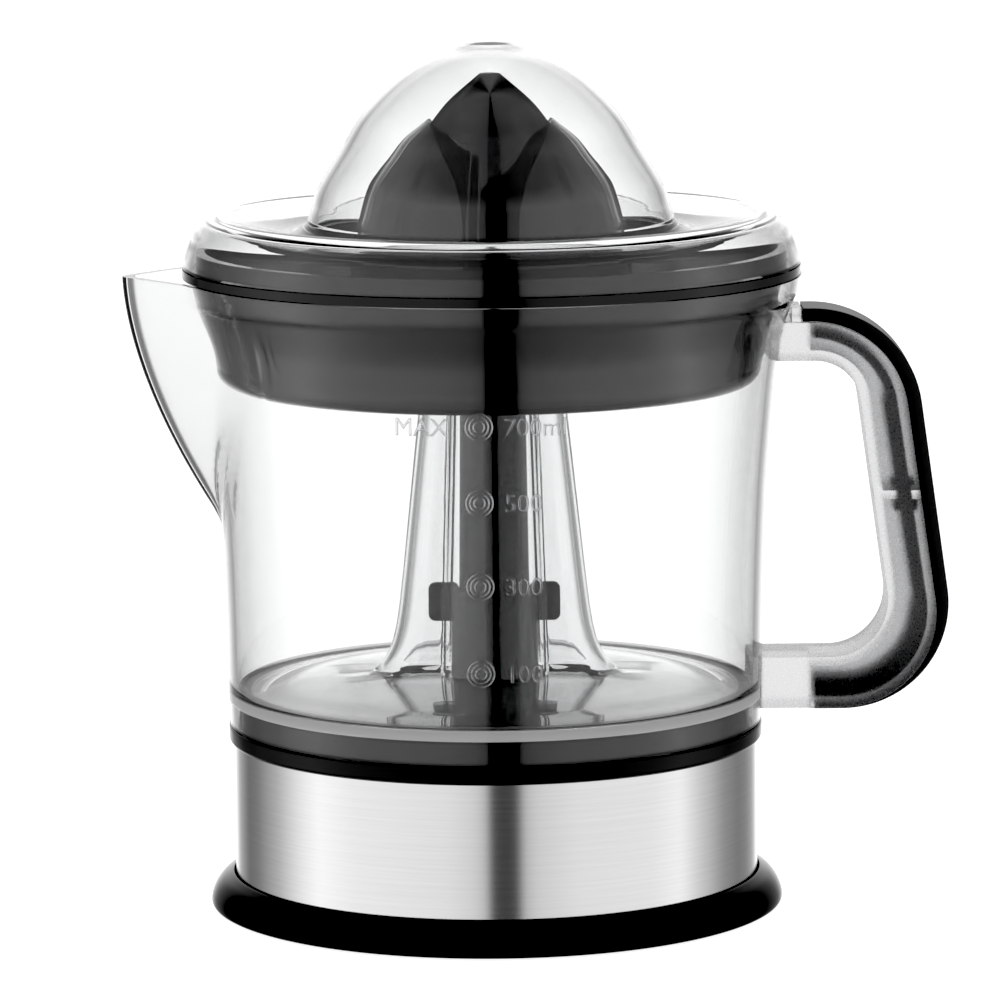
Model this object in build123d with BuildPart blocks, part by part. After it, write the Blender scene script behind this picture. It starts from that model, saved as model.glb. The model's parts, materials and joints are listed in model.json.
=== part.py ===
from build123d import *
import math
import os

# A citrus press juicer: a round motor base with a drive tower, a clear jug that drops over the
# tower, a strainer bowl, a small and a large reaming cone, and a clear domed lid.
# Millimetres, +Z up. The origin is on the vertical axis, level with the bottom of the feet.
# The spout points to -X and the handle to +X.

os.makedirs("parts", exist_ok=True)

# ---- clearances ---------------------------------------------------------------------------
running_fit = 0.05          # shafts in bushes, keyed sliding fits
seat_gap = 0.3              # pieces that lift off, at rest on their seat
free_gap = 0.5              # pieces that pass each other freely
touch = 0.02                # pieces of one assembly, fitted face to face

# ---- base ---------------------------------------------------------------------------------
band_r = 59.6               # outside of the steel band, which sets the width of the product
band_sheet = 0.6
band_top = 38.4             # height of the motor base below its collar
foot_flare = 5.6            # how far the foot ring stands out past the band
foot_clear = 0.5            # foot ring above the table
foot_ring_h = 7.6
ledge_z = 3.0
ledge_t = 2.0
cover_z = 1.0               # underside of the bottom cover
rubber_foot_r = 6.5
rubber_foot_h = 2.0
foot_circle_r = 47.0
collar_step = 1.1
collar_h = 3.8
sleeve_wall = 1.5
housing_wall = 2.2
screw_circle_r = 50.0
boss_r = 4.0
screw_r = 1.5
screw_head_r = 3.2
screw_head_h = 1.6
screw_end_z = 16.0

# ---- tower --------------------------------------------------------------------------------
plug_step = 0.8             # radial room between the deck plug and the jug skirt
plug_rib_count = 14
tower_r = 7.4               # at the top
tower_root_r = 8.0          # at the shoulder
tower_wide_r = 9.9
tower_bore_r = 5.2
shoulder_z = 71.5
fin_reach = 15.0
fin_t = 4.0
fin_low_z = 65.0
fin_top_z = 73.9
tower_top = 119.4

# ---- drive --------------------------------------------------------------------------------
shaft_r = 3.5
shaft_flats = 6.0           # across the flats of the hexagonal ends
shaft_top = 142.0
press_stroke = 2.0          # how far the cone and shaft go down to switch the motor on
shaft_collar_z = 15.0
shaft_collar_r = 7.0
plate_z = 24.3
plate_t = 1.5
motor_r = 22.0
motor_h = 18.0
motor_distance = 33.0       # motor axis from the drive axis, towards the back
motor_sheet = 1.0
rotor_r = 12.0
rotor_shaft_r = 1.5
claw_count = 6
first_module, pinion_teeth, wheel_teeth = 0.9, 12, 30
second_module, small_teeth, output_teeth = 1.0, 16, 32
first_stage_z, first_stage_t = 26.4, 4.0
second_stage_z, second_stage_t = 31.2, 4.8
hub_journal_r = 6.5
bush_wall = 1.5

# ---- jug ----------------------------------------------------------------------------------
jug_h = 101.7
jug_wall = 2.0
rim_flare = 9.6             # rim radius over skirt radius
neck_flare = 5.1            # radius gained below the rim bulge
neck_drop = 13.2            # the bulge starts this far below the rim
floor_rise = 5.6            # underside of the floor above the skirt's edge
floor_t = 1.8
floor_cone = 3.8            # the floor climbs this much towards the chimney
floor_cone_r = 28.0
chimney_wall = 1.8
chimney_top = 117.0
chimney_half_w = 21.6       # at chimney_mark_z
chimney_mark_z = 68.0
chimney_taper = 0.1045
chimney_flare = 5.0
chimney_round_r = 12.8
chimney_lobe_t = 6.0
spout_reach = 13.4
spout_drop = 55.7           # spout root below the rim
spout_lift = 0.6            # spout tip above the rim
spout_half_angle = 53.0
spout_side = 45.0

# ---- handle -------------------------------------------------------------------------------
handle_w = 19.0
handle_wall = 2.2
handle_top_z = 136.4
handle_bottom_z = 45.0
handle_lean = 0.1375        # sideways lean of the handle's back per millimetre of height
handle_reach = 93.8         # outer face, produced up to the handle's top
handle_inner_reach = 81.6   # inner face, produced up to the top of the opening
handle_open_top = 124.8
handle_open_bottom = 57.2
grip_t = 3.0
grip_end_t = 0.6
grip_w = 14.0
grip_start = 70.0
lug_start = 67.5

# ---- strainer -----------------------------------------------------------------------------
flange_t = 2.0
lip_h = 3.6
lip_inset = 3.3
strainer_wall = 1.8
strainer_drop = 24.9        # underside of the bowl below the flange
strainer_taper = 5.5
strainer_corner = 5.0
strainer_hub_r = 12.0
strainer_hub_h = 9.0
slot_count = 36
slot_w = 1.4
slot_inner_r, slot_outer_r = 37.0, 52.0

# ---- cones --------------------------------------------------------------------------------
cone_base_z = 131.6
small_cone_r = 22.5
small_cone_top = 189.4
small_cone_flange_r = 29.0
cone_wall = 2.0
socket_r = 6.0
small_body_share = 0.8      # radius of the fluted body over that of the main ribs
first_small_rib = -98.0
fine_rib_turn = -7.0        # from each main rib to the finer one beside it
large_cone_r = 31.6
large_cone_bottom = 124.0
petal_top = 178.6
petal_tip_r = 14.4
window_root_z = 142.0
window_half_w = 6.2
large_rib_h = 1.0

# ---- lid ----------------------------------------------------------------------------------
lid_wall = 2.0
lid_skirt_h = 11.3
lid_dish = 4.0
dome_r = 40.5
dome_top = 197.0

# ---- worked out from the above ------------------------------------------------------------
foot_ring_r = band_r + foot_flare
sleeve_r = band_r - band_sheet - 0.1
sleeve_inner_r = sleeve_r - sleeve_wall
collar_r = band_r + collar_step
collar_top = band_top + collar_h
cover_top = ledge_z
jug_bottom = collar_top + seat_gap
jug_top = jug_bottom + jug_h
skirt_r = collar_r - 0.3
skirt_inner_r = skirt_r - jug_wall
plug_r = skirt_inner_r - plug_step
floor_under = jug_bottom + floor_rise
rim_r = skirt_r + rim_flare
neck_r = skirt_r + neck_flare
flange_z = jug_top + 0.2
flange_r = rim_r - 0.2
flange_top = flange_z + flange_t
bowl_bottom = flange_z - strainer_drop
lip_r = flange_r - lip_inset
lid_bottom = flange_top + seat_gap
bush_top_z = bowl_bottom + strainer_hub_h
plug_top = floor_under - 0.9
deck_z = plug_top + floor_cone
deck_under = deck_z - housing_wall

teeth_distance_1 = first_module * (pinion_teeth + wheel_teeth) / 2
teeth_distance_2 = second_module * (small_teeth + output_teeth) / 2
wheel_turn = math.degrees(math.acos(
    (teeth_distance_2 ** 2 + motor_distance ** 2 - teeth_distance_1 ** 2)
    / (2 * teeth_distance_2 * motor_distance)
))
wheel_direction = 90 + wheel_turn
wheel_x = teeth_distance_2 * math.cos(math.radians(wheel_direction))
wheel_y = teeth_distance_2 * math.sin(math.radians(wheel_direction))
motor_x, motor_y = 0.0, motor_distance
pinion_direction = math.degrees(math.atan2(motor_y - wheel_y, motor_x - wheel_x))

screw_places = [(screw_circle_r * math.cos(math.radians(a)), screw_circle_r * math.sin(math.radians(a)))
                for a in (45, 135, 225, 315)]
foot_places = [(foot_circle_r * math.cos(math.radians(a)), foot_circle_r * math.sin(math.radians(a)))
               for a in (22, 158, 202, 338)] + [(0.0, 0.0)]
ear_places = [(-40.0, 25.0), (40.0, 25.0), (0.0, -24.0)]


# ---- shared shapes ------------------------------------------------------------------------
def tube(outer, inner, low, high, mode=Mode.ADD, x=0.0, y=0.0):
    """A round tube, or a rod where inner is 0, standing at x, y from low to high."""
    with BuildSketch(Plane.XY.offset(low)) as ring:
        with Locations((x, y)):
            Circle(outer)
            if inner:
                Circle(inner, mode=Mode.SUBTRACT)
    extrude(ring.sketch, amount=high - low, mode=mode)


def radial_plane(angle):
    """The upright half-plane at this angle from +X: its x runs outwards and its y runs up."""
    turn = math.radians(angle)
    return Plane((0, 0, 0), x_dir=(math.cos(turn), math.sin(turn), 0),
                 z_dir=(math.sin(turn), -math.cos(turn), 0))


def turned(*points, mode=Mode.ADD, seam=0):
    """The closed outline through (radius, height) points, turned about the vertical axis."""
    with BuildSketch(radial_plane(seam)) as outline:
        with BuildLine():
            Polyline(*points, close=True)
        make_face()
    revolve(outline.sketch, axis=Axis.Z, mode=mode)


def hexagon(flats, low, high, mode=Mode.ADD):
    """A hexagonal bar on the axis, given its size across the flats."""
    with BuildSketch(Plane.XY.offset(low)) as six:
        RegularPolygon(flats / 2, 6, major_radius=False)
    extrude(six.sketch, amount=high - low, mode=mode)


def toothed(module, teeth, low, high, x, y, first_tooth):
    """A spur gear blank with straight-flanked teeth, one of them pointing at first_tooth degrees."""
    pitch_r = module * teeth / 2
    root_r = pitch_r - 1.2 * module
    tip_r = pitch_r + 0.8 * module
    root_half = 0.95 * module
    tip_half = 0.32 * module
    with BuildSketch(Plane.XY.offset(low)) as wheel:
        with Locations((x, y)):
            Circle(root_r)
        with Locations(Location((x, y, 0), (0, 0, first_tooth))):
            with PolarLocations(0, teeth):
                Polygon((root_r - 0.3, -root_half), (tip_r, -tip_half),
                        (tip_r, tip_half), (root_r - 0.3, root_half), align=None)
    extrude(wheel.sketch, amount=high - low)


def wall_points(inset):
    """Radius and height of the jug's outer wall from skirt to rim, moved in by inset."""
    shape = [(0.0, 0.0), (0.6, 0.27), (1.5, 0.51), (3.1, 0.71)]
    points = [(skirt_r + gain - inset, jug_bottom + part * jug_h) for gain, part in shape]
    points.append((neck_r - inset, jug_top - neck_drop))
    points.append((rim_r - 1.9 - inset, jug_top - 0.47 * neck_drop))
    points.append((rim_r - 0.6 - inset, jug_top - 0.27 * neck_drop))
    points.append((rim_r - inset, jug_top))
    return points


def wall_solid(inset, low, high, mode=Mode.ADD):
    """Everything inside the jug's wall surface, moved in by inset, between two heights."""
    points = wall_points(inset)
    points[0] = (points[0][0], low)
    closing = [points[-1], (0, high), (0, low), points[0]]
    if high > jug_top:
        closing.insert(1, (points[-1][0], high))
    with BuildSketch(Plane.XZ) as half:
        with BuildLine():
            Spline(*points)
            Polyline(*closing)
        make_face()
    revolve(half.sketch, axis=Axis.Z, mode=mode)


def deck_height(radius):
    """Height of the housing's deck at a radius: flat in the middle, falling towards the plug."""
    fall = (max(radius, floor_cone_r) - floor_cone_r) / (plug_r - floor_cone_r)
    return plug_top + floor_cone * (1 - fall)


def spout_tip(part):
    """Distance of the spout's edge from the axis, at this part of the way up the spout."""
    root = skirt_r + 1.3
    return root + (rim_r + spout_reach - root) * (1 - (1 - part) ** 1.7)


def spout_solid(setback, mode=Mode.ADD):
    """The V of the spout, its edge moved back towards the axis by setback."""
    sections = []
    slope = math.radians(spout_half_angle)
    for step in range(6):
        part = step / 5
        height = jug_top - spout_drop + part * (spout_drop + spout_lift)
        tip = -spout_tip(part) + setback
        back = tip + spout_side * math.cos(slope)
        half = spout_side * math.sin(slope)
        with BuildSketch(Plane.XY.offset(height)) as section:
            Polygon((tip, 0), (back, -half), (back, half), align=None)
        sections.append(section.sketch)
    loft(sections, mode=mode)


def chimney_solid(inset, heights, mode=Mode.ADD):
    """The jug's chimney: a round middle with a lobe each side, widening towards the floor."""
    sections = []
    for height in heights:
        grow = (chimney_mark_z - height) * chimney_taper
        flare = chimney_flare * math.exp((jug_bottom + 11.2 - height) / 4)
        half = chimney_half_w + grow + flare - inset
        round_r = chimney_round_r + 0.37 * grow + 0.25 * flare - inset
        lobe = chimney_lobe_t + 0.3 * grow + 0.5 * flare - inset
        with BuildSketch(Plane.XY.offset(height)) as section:
            SlotOverall(2 * half, 2 * lobe)
            Circle(round_r)
        sections.append(section.sketch)
    loft(sections, ruled=True, mode=mode)


# ---- foot ring ----------------------------------------------------------------------------
foot_ring_bore = band_r + 0.4
foot_ring_top = foot_clear + foot_ring_h
with BuildPart() as foot_ring:
    with BuildSketch(Plane.XZ):
        with BuildLine():
            Line((foot_ring_bore + 1, foot_clear), (foot_ring_r - 0.6, foot_clear))
            ThreePointArc((foot_ring_r - 0.6, foot_clear), (foot_ring_r - 0.1, foot_clear + 0.5),
                          (foot_ring_r, foot_clear + 1.4))
            Spline((foot_ring_r, foot_clear + 1.4), (foot_ring_r - 0.9, foot_clear + 3.9),
                   (foot_ring_r - 3.2, foot_clear + 7.0), (foot_ring_bore, foot_ring_top))
            Polyline((foot_ring_bore, foot_ring_top), (foot_ring_bore, ledge_z + ledge_t),
                     (sleeve_inner_r - 2, ledge_z + ledge_t), (sleeve_inner_r - 2, ledge_z),
                     (foot_ring_bore + 1, ledge_z), (foot_ring_bore + 1, foot_clear))
        make_face()
    revolve(axis=Axis.Z)
    for px, py in screw_places:
        tube(boss_r + 0.3, 0, ledge_z - 1, ledge_z + ledge_t + 1, Mode.SUBTRACT, px, py)
foot_ring.part.label = "foot_ring"
export_step(foot_ring.part, "parts/foot_ring.step")

# ---- bottom cover -------------------------------------------------------------------------
spring_seat_z = 4.0
switch_x = 5.6
switch_top = 11.0
with BuildPart() as bottom_cover:
    tube(foot_ring_bore + 1 - 0.3, 0, cover_z, cover_top - touch)
    tube(6.0, 0, cover_top - touch, spring_seat_z)
    for px, py in foot_places:
        tube(rubber_foot_r + 0.2, 0, 0, rubber_foot_h, Mode.SUBTRACT, px, py)
    for px, py in screw_places:
        tube(screw_head_r + 0.3, 0, 0, cover_z + screw_head_h, Mode.SUBTRACT, px, py)
        tube(screw_r + 0.2, 0, 0, cover_top + 1, Mode.SUBTRACT, px, py)
    with BuildSketch(Plane.XY) as vents:
        with Locations((0, -22)):
            with GridLocations(6, 1, 6, 1):
                SlotOverall(16, 2.2, rotation=90)
    extrude(amount=cover_top + 1, mode=Mode.SUBTRACT)
bottom_cover.part.label = "bottom_cover"
export_step(bottom_cover.part, "parts/bottom_cover.step")

# ---- rubber feet and cover screws ---------------------------------------------------------
with BuildPart() as rubber_feet:
    for px, py in foot_places:
        tube(rubber_foot_r, 0, 0, rubber_foot_h - touch, x=px, y=py)
    fillet(rubber_feet.faces().filter_by(Plane.XY).group_by(Axis.Z)[0].edges(), 0.5)
rubber_feet.part.label = "rubber_feet"
export_step(rubber_feet.part, "parts/rubber_feet.step")

with BuildPart() as cover_screws:
    for px, py in screw_places:
        tube(screw_head_r, 0, cover_z, cover_z + screw_head_h - touch, x=px, y=py)
        tube(screw_r, 0, cover_z + screw_head_h - touch, screw_end_z, x=px, y=py)
cover_screws.part.label = "cover_screws"
export_step(cover_screws.part, "parts/cover_screws.step")

# ---- steel band ---------------------------------------------------------------------------
gland_z = 15.0
gland_r = 4.6
gland_depth = 4.7
with BuildPart() as steel_band:
    tube(band_r, band_r - band_sheet, ledge_z + ledge_t + touch, band_top - touch)
    with BuildSketch(Plane.XZ.offset(-band_r - 5)):
        with Locations((0, gland_z)):
            Circle(gland_r + 0.1)
    extrude(amount=20, mode=Mode.SUBTRACT)
steel_band.part.label = "steel_band"
export_step(steel_band.part, "parts/steel_band.step")

# ---- top housing: sleeve, collar, deck plug and drive tower --------------------------------
journal_bush_low = second_stage_z + second_stage_t + 1.0
journal_bush_high = journal_bush_low + 5.0
journal_bush_r = hub_journal_r + bush_wall
with BuildPart() as top_housing:
    turned((sleeve_inner_r, ledge_z + ledge_t + touch), (sleeve_r, ledge_z + ledge_t + touch),
           (sleeve_r, band_top), (collar_r - 0.5, band_top), (collar_r, band_top + 0.5),
           (collar_r, collar_top), (plug_r, collar_top), (plug_r, plug_top),
           (floor_cone_r, deck_z), (0, deck_z), (0, deck_under),
           (floor_cone_r - 1, deck_under), (sleeve_inner_r, plug_top - housing_wall - 0.4))
    turned((0, deck_under), (tower_wide_r, deck_under), (tower_wide_r, shoulder_z),
           (tower_root_r, shoulder_z + 0.6), (tower_r, tower_top), (0, tower_top))
    tube(journal_bush_r + 2.5, 0, journal_bush_low, deck_under + 0.5)
    with BuildSketch(Plane.XZ):
        with Locations((0, (fin_low_z + fin_top_z) / 2)):
            RectangleRounded(2 * fin_reach, fin_top_z - fin_low_z, 2.0)
    extrude(amount=fin_t / 2, both=True)
    for turn in range(plug_rib_count):
        angle = math.radians(-94.4 + turn * 360 / plug_rib_count)
        tube(0.9, 0, collar_top, plug_top - 0.6, x=(plug_r - 0.4) * math.cos(angle),
             y=(plug_r - 0.4) * math.sin(angle))
    for px, py in screw_places:
        tube(boss_r, 0, cover_top + touch, deck_height(screw_circle_r + boss_r) - 1, x=px, y=py)
        tube(screw_r + running_fit, 0, cover_top - 1, screw_end_z + 1, Mode.SUBTRACT, px, py)
    for px, py in ear_places:
        tube(boss_r, 0, plate_z + plate_t + touch, deck_height(math.hypot(px, py) + boss_r) - 1,
             x=px, y=py)
        tube(1.35, 0, plate_z, plate_z + 12, Mode.SUBTRACT, px, py)
    tube(3.0, 0, second_stage_z + second_stage_t + 1.6, deck_under + 0.5, x=wheel_x, y=wheel_y)
    tube(1.5 + running_fit, 0, second_stage_z, second_stage_z + second_stage_t + 5,
         Mode.SUBTRACT, wheel_x, wheel_y)
    tube(journal_bush_r + touch, 0, journal_bush_low - 1, journal_bush_high, Mode.SUBTRACT)
    tube(tower_bore_r, 0, journal_bush_high - 1, tower_top + 1, Mode.SUBTRACT)
    tube(tower_bore_r + 1.0, 0, tower_top - 1.6, tower_top + 1, Mode.SUBTRACT)
    with BuildSketch(Plane.XZ.offset(-band_r - 5)):
        with Locations((0, gland_z)):
            Circle(gland_r + 0.1)
    extrude(amount=20, mode=Mode.SUBTRACT)
top_housing.part.label = "top_housing"
export_step(top_housing.part, "parts/top_housing.step")

# ---- cord gland, at the back --------------------------------------------------------------
with BuildPart() as cord_gland:
    with BuildSketch(Plane.XZ.offset(-band_r - 2.4)):
        with Locations((0, gland_z)):
            Circle(gland_r + 1.6)
    extrude(amount=2.2)
    with BuildSketch(Plane.XZ.offset(-band_r - 1)):
        with Locations((0, gland_z)):
            Circle(gland_r)
    extrude(amount=gland_depth)
    with BuildSketch(Plane.XZ.offset(-band_r - 5)):
        with Locations((0, gland_z)):
            Circle(3.2)
    extrude(amount=20, mode=Mode.SUBTRACT)
cord_gland.part.label = "cord_gland"
export_step(cord_gland.part, "parts/cord_gland.step")

# ---- motor: two claw-pole cups, a ring coil and a magnet rotor ----------------------------
motor_top = plate_z - touch
motor_bottom = motor_top - motor_h
motor_split = (motor_top + motor_bottom) / 2
claw_r = rotor_r + 0.8
claw_h = motor_h - 4.0


def claw_cup(floor_low, floor_high, wall_low, wall_high, claw_low, claw_high, first_claw):
    """One pressed-steel half of the motor: end plate, rim and the ring of claws."""
    tube(motor_r, 3.2, floor_low, floor_high, x=motor_x, y=motor_y)
    tube(motor_r, motor_r - motor_sheet, wall_low, wall_high, x=motor_x, y=motor_y)
    for claw in range(claw_count):
        angle = first_claw + claw * 360 / claw_count
        place = Location((motor_x, motor_y, claw_low), (0, 0, angle))
        with BuildSketch(Plane(place)) as pole:
            with Locations((claw_r + 0.5, 0)):
                Rectangle(1.0, 4.4)
        extrude(pole.sketch, amount=claw_high - claw_low)


with BuildPart() as motor_lower_cup:
    claw_cup(motor_bottom, motor_bottom + motor_sheet, motor_bottom, motor_split - touch,
             motor_bottom, motor_bottom + claw_h, 0)
motor_lower_cup.part.label = "motor_lower_cup"
export_step(motor_lower_cup.part, "parts/motor_lower_cup.step")

with BuildPart() as motor_upper_cup:
    claw_cup(motor_top - motor_sheet, motor_top, motor_split, motor_top,
             motor_top - claw_h, motor_top, 180 / claw_count)
motor_upper_cup.part.label = "motor_upper_cup"
export_step(motor_upper_cup.part, "parts/motor_upper_cup.step")

coil_inner_r = claw_r + 1.3
with BuildPart() as coil_bobbin:
    tube(motor_r - motor_sheet - 0.3, coil_inner_r, motor_bottom + 1.2, motor_bottom + 2.4,
         x=motor_x, y=motor_y)
    tube(motor_r - motor_sheet - 0.3, coil_inner_r, motor_top - 2.4, motor_top - 1.2,
         x=motor_x, y=motor_y)
    tube(coil_inner_r + 1.0, coil_inner_r, motor_bottom + 2, motor_top - 2, x=motor_x, y=motor_y)
coil_bobbin.part.label = "coil_bobbin"
export_step(coil_bobbin.part, "parts/coil_bobbin.step")

with BuildPart() as coil_winding:
    tube(motor_r - motor_sheet - 1.2, coil_inner_r + 1.0 + touch, motor_bottom + 2.4 + touch,
         motor_top - 2.4 - touch, x=motor_x, y=motor_y)
coil_winding.part.label = "coil_winding"
export_step(coil_winding.part, "parts/coil_winding.step")

with BuildPart() as rotor_magnet:
    tube(rotor_r, rotor_shaft_r + touch, motor_bottom + 2.5, motor_top - 2.5, x=motor_x, y=motor_y)
rotor_magnet.part.label = "rotor_magnet"
export_step(rotor_magnet.part, "parts/rotor_magnet.step")

with BuildPart() as rotor_shaft:
    tube(rotor_shaft_r, 0, motor_bottom + 0.3, first_stage_z + first_stage_t + 0.3,
         x=motor_x, y=motor_y)
rotor_shaft.part.label = "rotor_shaft"
export_step(rotor_shaft.part, "parts/rotor_shaft.step")

with BuildPart() as rotor_bushes:
    tube(3.15, rotor_shaft_r + running_fit, motor_bottom, motor_bottom + 1.9, x=motor_x, y=motor_y)
    tube(3.15, rotor_shaft_r + running_fit, motor_top - 1.9, motor_top, x=motor_x, y=motor_y)
rotor_bushes.part.label = "rotor_bushes"
export_step(rotor_bushes.part, "parts/rotor_bushes.step")

# ---- gear train ---------------------------------------------------------------------------
with BuildPart() as motor_pinion:
    toothed(first_module, pinion_teeth, first_stage_z, first_stage_z + first_stage_t,
            motor_x, motor_y, pinion_direction + 180)
    tube(rotor_shaft_r + touch, 0, first_stage_z - 1, first_stage_z + first_stage_t + 1,
         Mode.SUBTRACT, motor_x, motor_y)
motor_pinion.part.label = "motor_pinion"
export_step(motor_pinion.part, "parts/motor_pinion.step")

with BuildPart() as reduction_gear:
    toothed(first_module, wheel_teeth, first_stage_z, first_stage_z + first_stage_t,
            wheel_x, wheel_y, pinion_direction + 180 / wheel_teeth)
    toothed(second_module, small_teeth, first_stage_z + first_stage_t,
            second_stage_z + second_stage_t, wheel_x, wheel_y,
            wheel_direction + 180 + 180 / small_teeth)
    tube(1.5 + running_fit, 0, first_stage_z - 1, second_stage_z + second_stage_t + 1,
         Mode.SUBTRACT, wheel_x, wheel_y)
reduction_gear.part.label = "reduction_gear"
export_step(reduction_gear.part, "parts/reduction_gear.step")

with BuildPart() as gear_axle:
    tube(1.5, 0, plate_z, second_stage_z + second_stage_t + 4.5, x=wheel_x, y=wheel_y)
gear_axle.part.label = "gear_axle"
export_step(gear_axle.part, "parts/gear_axle.step")

hub_low = plate_z - 1.0
with BuildPart() as output_gear:
    toothed(second_module, output_teeth, second_stage_z, second_stage_z + second_stage_t,
            0, 0, wheel_direction)
    tube(hub_journal_r, 0, hub_low, journal_bush_high - 0.5)
    hexagon(shaft_flats + 2 * running_fit, hub_low - 1, journal_bush_high + 1, Mode.SUBTRACT)
output_gear.part.label = "output_gear"
export_step(output_gear.part, "parts/output_gear.step")

with BuildPart() as gearbox_plate:
    with BuildSketch(Plane.XY.offset(plate_z)):
        Circle(19)
        with Locations((motor_x, motor_y)):
            Circle(motor_r + 1)
        with Locations((0, motor_distance / 2)):
            Rectangle(30, motor_distance)
        with Locations((0, 25)):
            SlotCenterToCenter(80, 9)
        with Locations((0, -12)):
            SlotCenterToCenter(24, 9, rotation=90)
        with Locations((wheel_x, wheel_y)):
            Circle(6)
            Circle(1.5 + touch, mode=Mode.SUBTRACT)
        with Locations((motor_x, motor_y)):
            Circle(3.2, mode=Mode.SUBTRACT)
        with Locations(*ear_places):
            Circle(1.5, mode=Mode.SUBTRACT)
        Circle(journal_bush_r + touch, mode=Mode.SUBTRACT)
    extrude(amount=plate_t)
gearbox_plate.part.label = "gearbox_plate"
export_step(gearbox_plate.part, "parts/gearbox_plate.step")

with BuildPart() as gearbox_screws:
    for px, py in ear_places:
        tube(2.8, 0, plate_z - 1.8, plate_z - touch, x=px, y=py)
        tube(1.3, 0, plate_z - touch, plate_z + 10, x=px, y=py)
gearbox_screws.part.label = "gearbox_screws"
export_step(gearbox_screws.part, "parts/gearbox_screws.step")

with BuildPart() as journal_bushes:
    tube(journal_bush_r, hub_journal_r + running_fit, plate_z - 0.6, plate_z + plate_t + 1.2)
    tube(journal_bush_r, hub_journal_r + running_fit, journal_bush_low, journal_bush_high - touch)
journal_bushes.part.label = "journal_bushes"
export_step(journal_bushes.part, "parts/journal_bushes.step")

# ---- drive shaft, its bushes, clip, seal and return spring ---------------------------------
lower_bush_low = journal_bush_high + 3.6
with BuildPart() as drive_shaft:
    hexagon(shaft_flats, shaft_collar_z + 2, journal_bush_high + press_stroke)
    tube(shaft_r, 0, journal_bush_high + press_stroke, tower_top + 0.5)
    hexagon(shaft_flats, tower_top + 0.5, shaft_top)
    tube(shaft_collar_r, 0, shaft_collar_z, shaft_collar_z + 2)
    tube(2.0, 0, shaft_collar_z - 3, shaft_collar_z)
    chamfer(drive_shaft.faces().sort_by(Axis.Z)[-1].edges(), 0.6)
drive_shaft.part.label = "drive_shaft"
export_step(drive_shaft.part, "parts/drive_shaft.step")

with BuildPart() as shaft_bushes:
    tube(tower_bore_r - touch, shaft_r + running_fit, lower_bush_low, lower_bush_low + 8)
    tube(tower_bore_r - touch, shaft_r + running_fit, tower_top - 10, tower_top - 1.7)
shaft_bushes.part.label = "shaft_bushes"
export_step(shaft_bushes.part, "parts/shaft_bushes.step")

with BuildPart() as shaft_clip:
    tube(tower_bore_r - 0.4, shaft_r + touch, lower_bush_low - 1.1, lower_bush_low - 0.3)
    with BuildSketch(Plane.XY.offset(lower_bush_low - 2)):
        with Locations((5, 0)):
            Rectangle(10, 4.4)
    extrude(amount=3, mode=Mode.SUBTRACT)
shaft_clip.part.label = "shaft_clip"
export_step(shaft_clip.part, "parts/shaft_clip.step")

with BuildPart() as shaft_seal:
    tube(tower_bore_r + 1.0 - touch, shaft_r + running_fit, tower_top - 1.6 + touch, tower_top)
shaft_seal.part.label = "shaft_seal"
export_step(shaft_seal.part, "parts/shaft_seal.step")

spring_r = 3.4
spring_wire = 0.45
spring_turns = 4
spring_h = shaft_collar_z - spring_seat_z - 2 * spring_wire - 2 * touch
with BuildPart() as return_spring:
    with BuildLine() as coil:
        Helix(spring_h / spring_turns, spring_h, spring_r,
              center=(0, 0, spring_seat_z + spring_wire + touch))
    with BuildSketch(Plane(origin=coil.line @ 0, z_dir=coil.line % 0)):
        Circle(spring_wire)
    sweep(is_frenet=True)
return_spring.part.label = "return_spring"
export_step(return_spring.part, "parts/return_spring.step")

# ---- switch -------------------------------------------------------------------------------
with BuildPart() as microswitch:
    with BuildSketch(Plane.XY.offset(cover_top)):
        with Locations((switch_x + 7.2, 0)):
            Rectangle(12.4, 6.4)
    extrude(amount=switch_top - cover_top)
    with BuildSketch(Plane.XY.offset(switch_top - 4)):
        with Locations((switch_x + 2.6, 0)):
            Rectangle(2.4, 2.6)
    extrude(amount=6, mode=Mode.SUBTRACT)
microswitch.part.label = "microswitch"
export_step(microswitch.part, "parts/microswitch.step")

with BuildPart() as switch_plunger:
    button_low = switch_top + press_stroke + 0.2
    with BuildSketch(Plane.XY.offset(switch_top - 1.6)):
        with Locations((switch_x + 2.6, 0)):
            Rectangle(2.2, 2.4)
    extrude(amount=button_low - switch_top + 1.6)
    with BuildSketch(Plane.XY.offset(button_low)):
        with Locations((switch_x + 1.3, 0)):
            Rectangle(4.8, 2.4)
    extrude(amount=shaft_collar_z - seat_gap - button_low)
switch_plunger.part.label = "switch_plunger"
export_step(switch_plunger.part, "parts/switch_plunger.step")

with BuildPart() as terminal_block:
    with BuildSketch(Plane.XY.offset(cover_top)):
        with Locations((-27, 0)):
            Rectangle(9, 18)
    extrude(amount=9)
    with BuildSketch(Plane.XY.offset(cover_top + 4)):
        with Locations((-27, 0)):
            with GridLocations(1, 8, 1, 2):
                Circle(1.7)
    extrude(amount=6, mode=Mode.SUBTRACT)
terminal_block.part.label = "terminal_block"
export_step(terminal_block.part, "parts/terminal_block.step")

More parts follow.
